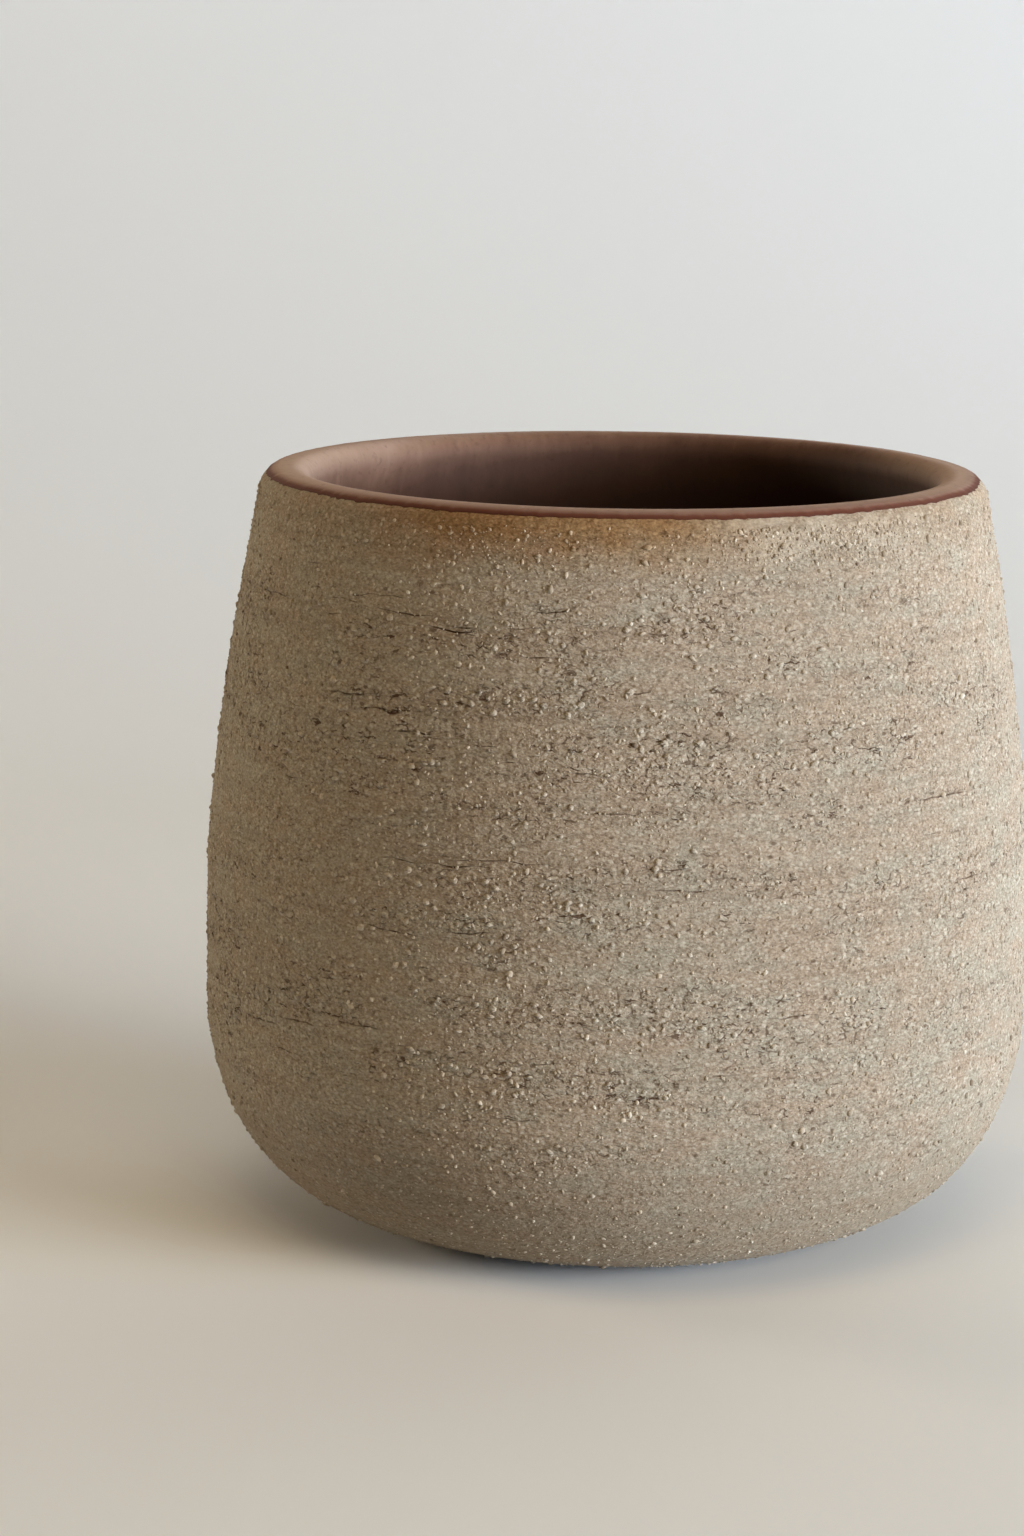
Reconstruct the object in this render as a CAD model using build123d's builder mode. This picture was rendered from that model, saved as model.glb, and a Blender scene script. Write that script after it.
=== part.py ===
from build123d import *
import os

# A handleless wheel-thrown cup of grogged stoneware, glazed inside and over the lip.
# The axis of the wheel is Z, the cup stands on z = 0, and all sizes are in millimetres.

# Outside of the cup
height = 76.0               # from the table to the top of the glazed lip
belly_diameter = 84.0       # where the wall is widest
belly_height = 25.5         # how far above the table that is
shoulder_rise = 18.5        # how far above the belly the wall passes into the straighter shoulder
shoulder_inset = 0.95       # how far it has drawn in there
lip_diameter = 72.2         # where the wall's outer curve reaches the lip
foot_diameter = 48.0        # outer edge of the ring that the cup stands on

# The turned heel leaves the foot at a low angle and swings up into the belly
heel_angle = 17.5           # degrees above the table, where the heel leaves the foot
heel_foot_pull = 5.0        # how far the curve is drawn out in that direction
heel_belly_pull = 22.0      # how far it is drawn down from the belly

# Clay walls and the rounding of the lip
wall_thickness = 4.7        # at the belly and the shoulder
lip_wall = 4.7
floor_thickness = 7.0
lip_outer_round = 1.8
lip_inner_round = 1.5

# Underside: the flat standing ring and the shallow hollow turned inside it
foot_ring_width = 6.0
hollow_depth = 1.2

# Glaze coat on the inside and over the lip
glaze_thickness = 0.35
glaze_drop = 0.7            # from the top of the lip down to the glaze line on the outside

belly_radius = belly_diameter / 2
shoulder_radius = belly_radius - shoulder_inset
shoulder_height = belly_height + shoulder_rise
lip_radius = lip_diameter / 2
foot_radius = foot_diameter / 2
hollow_radius = foot_radius - foot_ring_width
clay_height = height - glaze_thickness
inner_belly_radius = belly_radius - wall_thickness
inner_shoulder_radius = shoulder_radius - wall_thickness
inner_lip_radius = lip_radius - lip_wall
inner_heel_radius = belly_height - floor_thickness
floor_radius = inner_belly_radius - inner_heel_radius

os.makedirs("parts", exist_ok=True)

# The room inside the cup, half of its section: flat floor, rounded turn, wall leaning in to the mouth
with BuildSketch(Plane.XZ) as room_half:
    with BuildLine():
        floor_line = Line((0, floor_thickness), (floor_radius, floor_thickness))
        inner_heel = TangentArc(floor_line @ 1, (inner_belly_radius, belly_height), tangent=(1, 0))
        inner_belly = TangentArc(
            inner_heel @ 1, (inner_shoulder_radius, shoulder_height), tangent=(0, 1)
        )
        inner_shoulder = TangentArc(
            inner_belly @ 1, (inner_lip_radius, clay_height), tangent=inner_belly % 1
        )
        Polyline(inner_shoulder @ 1, (0, clay_height), floor_line @ 0)
    make_face()

# Clay, turned about the wheel's axis
with BuildPart() as stoneware_body:
    with BuildSketch(Plane.XZ) as clay_half:
        with BuildLine():
            hollow = TangentArc((0, hollow_depth), (hollow_radius, 0), tangent=(1, 0))
            foot_ring = Line(hollow @ 1, (foot_radius, 0))
            heel_start = PolarLine(foot_ring @ 1, heel_foot_pull, heel_angle, mode=Mode.PRIVATE)
            heel = Bezier(
                foot_ring @ 1,
                heel_start @ 1,
                (belly_radius, belly_height - heel_belly_pull),
                (belly_radius, belly_height),
            )
            belly = TangentArc(heel @ 1, (shoulder_radius, shoulder_height), tangent=(0, 1))
            shoulder = TangentArc(belly @ 1, (lip_radius, clay_height), tangent=belly % 1)
            Polyline(shoulder @ 1, (0, clay_height), hollow @ 0)
        make_face()
        add(room_half.sketch_local, mode=Mode.SUBTRACT)
        fillet(clay_half.vertices().sort_by_distance(inner_shoulder @ 1)[0], lip_inner_round)
        fillet(clay_half.vertices().sort_by_distance(shoulder @ 1)[0], lip_outer_round)
    revolve(axis=Axis.Z)
stoneware_body.part.label = "stoneware_body"
export_step(stoneware_body.part, "parts/stoneware_body.step")

# Glaze, an even coat on the clay, all over the inside and on the lip down to the glaze line
with BuildPart() as liner_glaze:
    with BuildSketch(Plane.XZ) as coat_half:
        add(clay_half.sketch_local)
        offset(amount=glaze_thickness)
        with BuildSketch(mode=Mode.INTERSECT):
            add(room_half.sketch_local)
            offset(amount=lip_wall / 2)
            with Locations((0, height - glaze_drop)):
                Rectangle(belly_radius, glaze_drop, align=Align.MIN)
        Rectangle(belly_radius, height, align=Align.MIN, mode=Mode.INTERSECT)
        add(clay_half.sketch_local, mode=Mode.SUBTRACT)
    revolve(axis=Axis.Z)
liner_glaze.part.label = "liner_glaze"
export_step(liner_glaze.part, "parts/liner_glaze.step")
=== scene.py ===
import math
from functools import partial
import bpy
import numpy as np
from mathutils import Matrix, Vector, kdtree, noise


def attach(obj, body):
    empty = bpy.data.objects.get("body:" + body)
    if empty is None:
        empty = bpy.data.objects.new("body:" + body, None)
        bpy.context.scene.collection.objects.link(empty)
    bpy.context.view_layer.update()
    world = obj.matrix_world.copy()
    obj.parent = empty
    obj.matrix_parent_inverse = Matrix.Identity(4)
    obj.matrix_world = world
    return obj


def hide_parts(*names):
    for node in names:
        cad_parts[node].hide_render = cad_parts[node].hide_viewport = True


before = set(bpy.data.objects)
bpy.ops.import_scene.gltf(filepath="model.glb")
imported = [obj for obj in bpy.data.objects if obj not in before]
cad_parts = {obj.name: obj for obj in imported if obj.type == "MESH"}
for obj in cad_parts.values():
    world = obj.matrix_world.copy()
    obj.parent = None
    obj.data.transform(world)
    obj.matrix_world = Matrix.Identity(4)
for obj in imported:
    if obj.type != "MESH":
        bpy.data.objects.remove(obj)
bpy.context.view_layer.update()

mm = 0.001
print("frame loaded:", sorted(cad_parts))


def linearOf(hexText):  # sRGB hex to the linear colour that the nodes want
    parts = [int(hexText[i:i + 2], 16) / 255 for i in (1, 3, 5)]
    return [c / 12.92 if c <= 0.04045 else ((c + 0.055) / 1.055) ** 2.4 for c in parts] + [1.0]


def addNode(tree, kind, settings=None, links=None):  # a node, its settings, and what feeds it
    node = tree.nodes.new(kind)
    for key, value in (settings or {}).items():
        if key == "stops":
            node.color_ramp.elements.remove(node.color_ramp.elements[1])
            for i, (at, tone) in enumerate(value):
                stop = node.color_ramp.elements.new(at) if i else node.color_ramp.elements[0]
                stop.position, stop.color = at, linearOf(tone)
        elif key in ("From", "To"):   # both ends of a range
            node.inputs[key + " Min"].default_value, node.inputs[key + " Max"].default_value = value
        elif isinstance(key, str) and hasattr(node, key):
            setattr(node, key, value)
        else:
            node.inputs[key].default_value = value
    for key, sources in (links or {}).items():
        for source in sources if isinstance(sources, list) else [sources]:
            tree.links.new(source.outputs[0] if hasattr(source, "outputs") else source, node.inputs[key])
    return node


def newTree(name, inputs):  # a Geometry Nodes tree, what adds a node to it, and its named inputs
    tree = bpy.data.node_groups.new(name, "GeometryNodeTree")
    for label, kind, value in inputs:
        socket = tree.interface.new_socket(label, in_out="INPUT", socket_type=kind)
        if value is not None:
            socket.default_value = value
    tree.interface.new_socket("Geometry", in_out="OUTPUT", socket_type="NodeSocketGeometry")
    add = partial(addNode, tree)
    return tree, add, add("NodeGroupInput").outputs


def endTree(add, made, material):  # a real mesh in its material, and out
    real = add("GeometryNodeRealizeInstances", links={0: made})
    add("NodeGroupOutput", links={0: add("GeometryNodeSetMaterial", links={0: real, "Material": material})})


def plainMesh(name, source, tree, values):  # runs a tree on a mesh and keeps the result as a mesh
    host = bpy.data.objects.new(name + "Host", source)
    bpy.context.collection.objects.link(host)
    nodes = host.modifiers.new(name, "NODES")
    nodes.node_group = tree
    for item in tree.interface.items_tree:
        if item.in_out == "INPUT" and item.name in values:
            nodes[item.identifier] = values[item.name]
    made = bpy.data.meshes.new_from_object(host.evaluated_get(bpy.context.evaluated_depsgraph_get()))
    made.name = name
    host.modifiers.remove(nodes)
    bpy.data.objects.remove(host)
    return made


def showPiece(name, mesh, slotName, *nodes):  # hangs a finished mesh on the cup's one body
    piece = bpy.data.objects.new(name, mesh)
    bpy.context.collection.objects.link(piece)
    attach(piece, "root")
    if nodes:
        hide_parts(*nodes)
    print("piece", name, len(mesh.polygons), "faces")


# The cup's own sizes in millimetres, as the CAD has them
cup = {
    "height": 76.0, "glaze": 0.35,
    "bellyRadius": 42.0, "bellyHeight": 25.5, "shoulderRise": 18.5, "shoulderInset": 0.95,
    "lipRadius": 36.1, "footRadius": 24.0, "ringWidth": 6.0, "hollowDepth": 1.2,
    "heelAngle": 17.5, "heelFootPull": 5.0, "heelBellyPull": 22.0,
    "wall": 4.7, "floor": 7.0, "lipOuterRound": 1.8, "lipInnerRound": 1.5,
}


def turned(heading, angle):
    c, s = math.cos(angle), math.sin(angle)
    return np.array([c * heading[0] - s * heading[1], s * heading[0] + c * heading[1]])


def arcPoints(start, heading, end, count):  # the arc that leaves start along heading and ends at end
    start, heading, end = (np.array(v, float) for v in (start, heading, end))
    chord = end - start
    half = math.atan2(heading[0] * chord[1] - heading[1] * chord[0], heading @ chord)
    reach = np.linalg.norm(chord) / math.sin(half)
    steps = np.linspace(0, 1, count + 1)
    points = [start + reach * math.sin(half * t) * turned(heading, half * t) for t in steps]
    return np.array(points), turned(heading, 2 * half)


def roundedCorner(before, after, radius, count):  # joins two runs that meet in a corner
    corner = before[-1]
    into = (corner - before[-2]) / np.linalg.norm(corner - before[-2])
    out = (after[1] - corner) / np.linalg.norm(after[1] - corner)
    reach = radius * math.tan(math.acos(np.clip(into @ out, -1, 1)) / 2)
    bend = arcPoints(corner - into * reach, into, corner + out * reach, count)[0]
    kept = before[np.linalg.norm(before - corner, axis=1) > reach + 0.05]
    rest = after[np.linalg.norm(after - corner, axis=1) > reach + 0.05]
    return kept, bend, rest


# rows in each run of the section; the ones in mm are run lengths, shared out by the step
profileRows = {
    "hollow": 8, "heelMm": 35, "bellyMm": 18.5, "shoulderMm": 32, "lip": 8,
    "innerTurn": 14, "innerBelly": 6, "innerShoulder": 10, "floorMm": (12.0, 6.0, 0.0),
}


def clayProfile(step):  # half section of the clay, from under the floor round the lip to the floor
    clayTop = cup["height"] - cup["glaze"]
    footX, bellyX, bellyZ = cup["footRadius"], cup["bellyRadius"], cup["bellyHeight"]
    shoulderX, shoulderZ = bellyX - cup["shoulderInset"], bellyZ + cup["shoulderRise"]
    hollowEnd = (footX - cup["ringWidth"], 0)
    hollow = arcPoints((0, cup["hollowDepth"]), (1, 0), hollowEnd, profileRows["hollow"])[0]
    angle = math.radians(cup["heelAngle"])
    pulls = np.array([
        (footX, 0),
        (footX + cup["heelFootPull"] * math.cos(angle), cup["heelFootPull"] * math.sin(angle)),
        (bellyX, bellyZ - cup["heelBellyPull"]),
        (bellyX, bellyZ),
    ])
    t = np.linspace(0, 1, int(profileRows["heelMm"] / step))[:, None]
    heel = ((1 - t) ** 3 * pulls[0] + 3 * (1 - t) ** 2 * t * pulls[1]
            + 3 * (1 - t) * t ** 2 * pulls[2] + t ** 3 * pulls[3])
    bellyRows, shoulderRows = (int(profileRows[label] / step) for label in ("bellyMm", "shoulderMm"))
    belly, lean = arcPoints((bellyX, bellyZ), (0, 1), (shoulderX, shoulderZ), bellyRows)
    shoulder = arcPoints((shoulderX, shoulderZ), lean, (cup["lipRadius"], clayTop), shoulderRows)[0]
    wall, floorZ = cup["wall"], cup["floor"]
    turn = bellyZ - floorZ
    innerStart, innerTop = (bellyX - wall, bellyZ), (shoulderX - wall, shoulderZ)
    innerLip = (cup["lipRadius"] - wall, clayTop)
    innerTurn = arcPoints((bellyX - wall - turn, floorZ), (1, 0), innerStart, profileRows["innerTurn"])[0]
    innerBelly, lean = arcPoints(innerStart, (0, 1), innerTop, profileRows["innerBelly"])
    innerShoulder = arcPoints(innerTop, lean, innerLip, profileRows["innerShoulder"])[0]
    lipTop = np.array([(cup["lipRadius"], clayTop), innerLip])
    outside, outerBend, _ = roundedCorner(shoulder, lipTop, cup["lipOuterRound"], profileRows["lip"])
    innerLine = innerShoulder[::-1]
    _, innerBend, inside = roundedCorner(lipTop, innerLine, cup["lipInnerRound"], profileRows["lip"])
    floorLine = np.array([(x, floorZ) for x in profileRows["floorMm"]])
    outer = np.vstack([hollow, [(footX - cup["ringWidth"] / 2, 0)], heel, belly[1:], outside[1:]])
    inner = np.vstack([inside, innerBelly[-2::-1], innerTurn[-2::-1], floorLine])
    return outer, np.vstack([outerBend, innerBend]), inner


# Clay wall: turned on the wheel, so it is one section swung round the axis with soft throwing rings
wall = {
    "segments": 172, "rowStep": 1.0, "seed": 4.0, "sharpDegrees": 32,
    "ringDepth": 0.07, "ringPitch": 7.0, "wobble": 0.10,      # mm
    "ringNoise": (0.3, 0.7),                                  # noise values of the deepest and highest ring
    "bulgeNoise": (0.2, 0.8), "bulge": (-1.0, 0.3), "bulgeStretch": (0.8, 0.8, 0.12),
    "swellIn": (3, 9), "swellOut": (68, 73),                  # mm up, where the rings start and end
    "reach": 41.64, "overReach": 0.1,      # mm, past this radius the skin is drawn in to give the grains room
}


def smoothStep(low, high, x):
    t = np.clip((x - low) / (high - low), 0, 1)
    return t * t * (3 - 2 * t)


outerRun, lipRun, innerRun = clayProfile(wall["rowStep"])
swell = smoothStep(*wall["swellIn"], outerRun[:, 1]) * (1 - smoothStep(*wall["swellOut"], outerRun[:, 1]))
skinRun = outerRun.copy()
drawnIn = wall["reach"] + wall["overReach"] * (skinRun[:, 0] - wall["reach"])
skinRun[:, 0] = np.minimum(skinRun[:, 0], drawnIn)
section = np.vstack([skinRun, lipRun, innerRun])
sectionMesh = bpy.data.meshes.new("claySection")
sectionMesh.from_pydata([(x * mm, 0, z * mm) for x, z in section], [], [])
weights = sectionMesh.attributes.new("swell", "FLOAT", "POINT")
still = np.zeros(len(section) - len(swell))   # no rings on the lip and inside
weights.data.foreach_set("value", np.concatenate([swell, still]).astype(np.float32))


def throwOnWheel():
    tree, add, given = newTree("throwOnWheel", [
        ("Geometry", "NodeSocketGeometry", None), ("Segments", "NodeSocketInt", 64),
        ("Ring Depth", "NodeSocketFloat", 0.0), ("Ring Pitch", "NodeSocketFloat", 0.01),
        ("Wobble", "NodeSocketFloat", 0.0), ("Seed", "NodeSocketFloat", 0.0),
    ])
    rows = add("GeometryNodeAttributeDomainSize", links={0: given["Geometry"]})
    columns = add("ShaderNodeMath", {1: 1.0}, {0: given["Segments"]})
    grid = add("GeometryNodeMeshGrid", links={"Vertices X": columns, "Vertices Y": rows})
    index = add("GeometryNodeInputIndex")
    row = add("ShaderNodeMath", {"operation": "MODULO"}, {0: index, 1: rows})
    ratio = add("ShaderNodeMath", {"operation": "DIVIDE"}, {0: index, 1: rows})
    column = add("ShaderNodeMath", {"operation": "FLOOR"}, {0: ratio})
    turn = add("ShaderNodeMath", {"operation": "DIVIDE"}, {0: column, 1: given["Segments"]})
    angle = add("ShaderNodeMath", {"operation": "MULTIPLY", 1: 2 * math.pi}, {0: turn})
    place = add("GeometryNodeInputPosition")
    point = add("GeometryNodeSampleIndex", {"data_type": "FLOAT_VECTOR"},
                {"Geometry": given["Geometry"], "Value": place, "Index": row})
    soft = add("GeometryNodeInputNamedAttribute", {"data_type": "FLOAT", "Name": "swell"})
    weight = add("GeometryNodeSampleIndex", {"data_type": "FLOAT"},
                 {"Geometry": given["Geometry"], "Value": soft, "Index": row})
    split = add("ShaderNodeSeparateXYZ", links={0: point})
    cosine = add("ShaderNodeMath", {"operation": "COSINE"}, {0: angle})
    sine = add("ShaderNodeMath", {"operation": "SINE"}, {0: angle})
    step = add("ShaderNodeMath", {"operation": "DIVIDE"}, {0: split.outputs["Z"], 1: given["Ring Pitch"]})
    around = add("ShaderNodeCombineXYZ", links={0: cosine, 1: sine, 2: step})
    rings = add("ShaderNodeTexNoise", {"noise_dimensions": "4D", "Scale": 1.0, "Detail": 2.0},
                {"Vector": around, "W": given["Seed"]})
    ringShift = add("ShaderNodeMapRange", {"From": wall["ringNoise"], "To": (-1.0, 1.0)}, {"Value": rings})
    ringSize = add("ShaderNodeMath", {"operation": "MULTIPLY"}, {0: ringShift, 1: given["Ring Depth"]})
    flat = add("ShaderNodeVectorMath", {"operation": "MULTIPLY", 1: wall["bulgeStretch"]}, {0: around})
    outOfRound = add("ShaderNodeTexNoise", {"noise_dimensions": "4D", "Scale": 1.0, "Detail": 0.0},
                     {"Vector": flat, "W": given["Seed"]})
    bulge = add("ShaderNodeMapRange", {"From": wall["bulgeNoise"], "To": wall["bulge"]},
                {"Value": outOfRound})
    bulgeSize = add("ShaderNodeMath", {"operation": "MULTIPLY"}, {0: bulge, 1: given["Wobble"]})
    both = add("ShaderNodeMath", {"operation": "ADD"}, {0: ringSize, 1: bulgeSize})
    shift = add("ShaderNodeMath", {"operation": "MULTIPLY"}, {0: both, 1: weight})
    radius = add("ShaderNodeMath", {"operation": "ADD"}, {0: split.outputs["X"], 1: shift})
    east = add("ShaderNodeMath", {"operation": "MULTIPLY"}, {0: radius, 1: cosine})
    north = add("ShaderNodeMath", {"operation": "MULTIPLY"}, {0: radius, 1: sine})
    swung = add("ShaderNodeCombineXYZ", links={0: east, 1: north, 2: split.outputs["Z"]})
    moved = add("GeometryNodeSetPosition", links={"Geometry": grid, "Position": swung})
    merged = add("GeometryNodeMergeByDistance", {"Distance": 1e-6}, {"Geometry": moved})
    add("NodeGroupOutput", links={0: add("GeometryNodeRealizeInstances", links={0: merged})})
    return tree


bareWall = plainMesh("bareWall", sectionMesh, throwOnWheel(), {
    "Segments": wall["segments"], "Ring Depth": wall["ringDepth"] * mm, "Ring Pitch": wall["ringPitch"] * mm,
    "Wobble": wall["wobble"] * mm, "Seed": wall["seed"],
})
print("wall thrown:", len(bareWall.polygons), "faces")

# Where the turning tool tore the skin: heavier and lighter bands up the wall, clustered along the rings
skin = {
    "heights": (0.6, 74.4),      # mm, the part of the wall that was turned
    "bandHeights": [0, 7, 12, 18, 22, 30, 33.5, 36, 41, 45, 48, 53, 57, 61, 65, 69, 72, 74.4],
    "bandWeights": [0, 0.02, 0.3, 0.4, 0.7, 0.8, 0.45, 0.55, 0.95, 0.25, 0.5, 0.85, 0.95, 0.6, 0.8, 0.3,
                    0.25, 0.25],
    # the bands drift up and down: how wide and tall a drift is, and how far it goes, in mm
    "drift": {"size": (24, 30), "reach": 3.0},
    "cluster": {"size": (9, 2.6), "fromTo": (-0.28, 0.42), "least": 0.25, "more": 1.5},
    "calmRight": {"fromTo": (20, 36), "less": 0.4},      # mm to the right, where the tears thin out
    # share of grog: on plain skin, more where torn and close to the top, and in patches
    "grains": {"plain": 0.7, "torn": 0.5, "top": 0.9, "topFromTo": (66, 72), "patch": (7, 4),
               "patchShare": (0.6, 0.8)},
    # a chewed strip with pale crinkles close under the glaze, on the right of the front
    "strip": {"up": (70.5, 72.5), "start": (5, 13), "end": (24, 30), "torn": 0.2, "grains": 5, "raised": 2,
              "crinkle": (2.2, 0.9)},
    "pitsPerMm2": 0.23, "smallPitsPerMm2": 0.50,
    "pit": ((0.14, 0.07, 0.10), (0.36, 0.14, 0.20)),     # mm, least and most half width, half height, depth
    "smallPit": ((0.08, 0.04, 0.06), (0.18, 0.08, 0.11)),
    "crumb": ((0.22, 0.16, 0.12), (0.42, 0.28, 0.20)),
    "smallCrumb": ((0.13, 0.10, 0.08), (0.24, 0.17, 0.13)),
    "crumbShift": (1.2, 0.15, -0.3),                     # in half sizes: round the cup, up and out
    "seed": 11, "looseFaces": 100,                       # smaller flakes that come off whole are dropped
    "lumpTilt": 0.5, "grooveLean": 0.05,                 # radians off level, at most
    "grooveWidth": (0.12, 0.26), "grooveLength": (1.5, 6.5), "grooveHeights": (8, 73),   # mm
    "looseGrooves": 260, "shortened": 2.2, "looseStrength": (0.5, 0.9), "waverMm": 0.5, "waversPerM": 420.0,
    # longer drags seen on the front: degrees round from the front, height and length in mm
    "longGrooves": [
        (-61, 65.4, 7.0), (-38, 67.0, 10.0), (-32, 65.7, 12.0), (-25, 64.6, 13.0), (-40, 57.7, 10.0),
        (-33, 56.6, 10.5), (-29, 54.8, 7.5), (-10, 62.6, 6.0), (-30, 42.9, 6.0), (-16, 43.6, 12.0),
        (-21, 42.9, 9.0), (9, 41.4, 8.5), (6, 43.4, 6.0), (-30, 36.0, 9.5), (-19, 36.7, 6.0),
        (50, 48.0, 11.0), (0, 48.4, 4.5), (-55, 24.2, 9.0), (-35, 26.4, 7.0), (-50, 21.9, 6.5),
        (24, 29.0, 6.0), (3, 59.6, 3.7), (-44, 66.2, 6.0), (-12, 65.2, 7.0), (-47, 25.3, 8.0),
    ],
}

spots = np.empty(len(bareWall.vertices) * 3)
bareWall.vertices.foreach_get("co", spots)
spots = spots.reshape(-1, 3) / mm
eastAt, heightAt = spots[:, 0], spots[:, 2]
outward = np.hypot(eastAt, spots[:, 1])
wallUp, wallOut = outerRun[len(outerRun) // 8:, 1], outerRun[len(outerRun) // 8:, 0]   # without the underside
onSkin = outward > np.interp(heightAt, wallUp, wallOut) - 1.0
onSkin &= (heightAt > skin["heights"][0]) & (heightAt < skin["heights"][1])


def noiseAt(points, width, height, seed):  # smooth noise, width mm long round the cup and height mm tall
    return np.array([noise.noise(Vector((x / width + seed, y / width, z / height))) for x, y, z in points])


drift = noiseAt(spots, *skin["drift"]["size"], 3.1) * skin["drift"]["reach"]
bandHere = np.interp(heightAt + drift, skin["bandHeights"], skin["bandWeights"])
cluster, calm, strip, grains = (skin[label] for label in ("cluster", "calmRight", "strip", "grains"))
clustered = smoothStep(*cluster["fromTo"], noiseAt(spots, *cluster["size"], 7.7))
tornHere = bandHere * (cluster["least"] + cluster["more"] * clustered)
chewed = smoothStep(*strip["up"], heightAt) * smoothStep(*strip["start"], eastAt)
chewed = chewed * (1 - smoothStep(*strip["end"], eastAt)) * (spots[:, 1] < 0)
calmed = 1 - calm["less"] * smoothStep(*calm["fromTo"], eastAt)
tornHere = np.maximum(tornHere, strip["torn"] * chewed) * calmed * onSkin
patchLeast, patchMore = grains["patchShare"]
patches = patchLeast + patchMore * smoothStep(-0.4, 0.4, noiseAt(spots, *grains["patch"], 1.3))
nearTop = smoothStep(*grains["topFromTo"], heightAt)
grainHere = grains["plain"] + grains["torn"] * bandHere + grains["top"] * nearTop + strip["grains"] * chewed
grainHere = grainHere * patches * onSkin
raised = strip["raised"] * chewed * smoothStep(-0.1, 0.3, noiseAt(spots, *strip["crinkle"], 9.2))
for label, values in (("tornHere", tornHere), ("grainHere", grainHere), ("raised", raised)):
    bareWall.attributes.new(label, "FLOAT", "POINT").data.foreach_set("value", values.astype(np.float32))

# Seeds of the drag grooves: the long ones listed, the loose ones where the skin is torn
dice = np.random.default_rng(skin["seed"])
grooveSeeds = [(math.radians(a), z, length, 1.0) for a, z, length in skin["longGrooves"]]
while len(grooveSeeds) < len(skin["longGrooves"]) + skin["looseGrooves"]:
    a, z = dice.uniform(-math.pi, math.pi), dice.uniform(*skin["grooveHeights"])
    if dice.uniform() < np.interp(z, skin["bandHeights"], skin["bandWeights"]):
        low, high = skin["grooveLength"]
        length = low + (high - low) * dice.uniform() ** skin["shortened"]
        grooveSeeds.append((a, z, length, dice.uniform(*skin["looseStrength"])))
seedMesh = bpy.data.meshes.new("grooveSeeds")
reach = [np.interp(z, wallUp, wallOut) for _, z, _, _ in grooveSeeds]
seedMesh.from_pydata([(r * math.sin(a) * mm, -r * math.cos(a) * mm, z * mm)
                      for r, (a, z, _, _) in zip(reach, grooveSeeds)], [], [])
for label, column in (("grooveLength", 2), ("grooveStrength", 3)):
    values = [seed[column] * (mm if column == 2 else 1) for seed in grooveSeeds]
    seedMesh.attributes.new(label, "FLOAT", "POINT").data.foreach_set("value", values)
seedHost = bpy.data.objects.new("grooveSeeds", seedMesh)
bpy.context.collection.objects.link(seedHost)


def chips(add, kind, sizes, count, rough, seed):  # a few uneven low-poly lumps to pick from
    pile = []
    for i in range(count):
        wander = add("FunctionNodeRandomValue", {
            "data_type": "FLOAT_VECTOR", 0: (-rough,) * 3, 1: (rough,) * 3, "Seed": seed + i})
        pile.append(add("GeometryNodeSetPosition", links={"Geometry": add(kind, sizes), "Offset": wander}))
    return add("GeometryNodeGeometryToInstance", links={0: pile})


def scattered(add, surface, density, seed, least, most, lumps, tilt, shift):
    # lumps on the skin, long way round the cup, each with its own size and a small turn;
    # the shift is in half sizes of each lump: round the cup, up and out
    points = add("GeometryNodeDistributePointsOnFaces", links={
        "Mesh": surface, "Density": density, "Seed": seed})
    ringwise = add("ShaderNodeVectorMath", {"operation": "CROSS_PRODUCT", 0: (0, 0, 1)},
                   {1: points.outputs["Normal"]})
    facing = add("FunctionNodeAxesToRotation", {"primary_axis": "Z", "secondary_axis": "X"},
                 {0: points.outputs["Normal"], 1: ringwise})
    lean = add("FunctionNodeRandomValue", {"data_type": "FLOAT", 2: -tilt, 3: tilt, "Seed": 5})
    spin = add("FunctionNodeAxisAngleToRotation", {"Axis": (0, 0, 1)}, {"Angle": lean.outputs[1]})
    turnedTo = add("FunctionNodeRotateRotation", {"rotation_space": "LOCAL"}, {0: facing, 1: spin})
    size = add("FunctionNodeRandomValue", {"data_type": "FLOAT_VECTOR", "Seed": 6}, {0: least, 1: most})
    rare = add("FunctionNodeRandomValue", {"data_type": "FLOAT", 2: 0.0, 3: 1.0, "Seed": 7})
    skewed = add("ShaderNodeMath", {"operation": "POWER", 1: 2.0}, {0: rare.outputs[1]})
    factor = add("ShaderNodeMapRange", {"To": (0.75, 1.5)}, {"Value": skewed})
    sized = add("ShaderNodeVectorMath", {"operation": "SCALE"}, {0: size, "Scale": factor})
    placed = add("GeometryNodeInstanceOnPoints", {"Pick Instance": True}, {
        "Points": points, "Instance": lumps, "Rotation": turnedTo, "Scale": sized})
    if shift is not None:
        step = add("ShaderNodeVectorMath", {"operation": "MULTIPLY"}, {0: sized, 1: shift})
        placed = add("GeometryNodeTranslateInstances", {"Local Space": True}, {
            "Instances": placed, "Translation": step})
    return add("GeometryNodeRealizeInstances", links={0: placed})


lumpInputs = [
    ("Geometry", "NodeSocketGeometry", None), ("Seed", "NodeSocketInt", 0),
    ("Clay", "NodeSocketMaterial", None),
    ("Large", "NodeSocketFloat", 0.0), ("Small", "NodeSocketFloat", 0.0),
    ("Large Least", "NodeSocketVector", None), ("Large Most", "NodeSocketVector", None),
    ("Small Least", "NodeSocketVector", None), ("Small Most", "NodeSocketVector", None),
]


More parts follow.
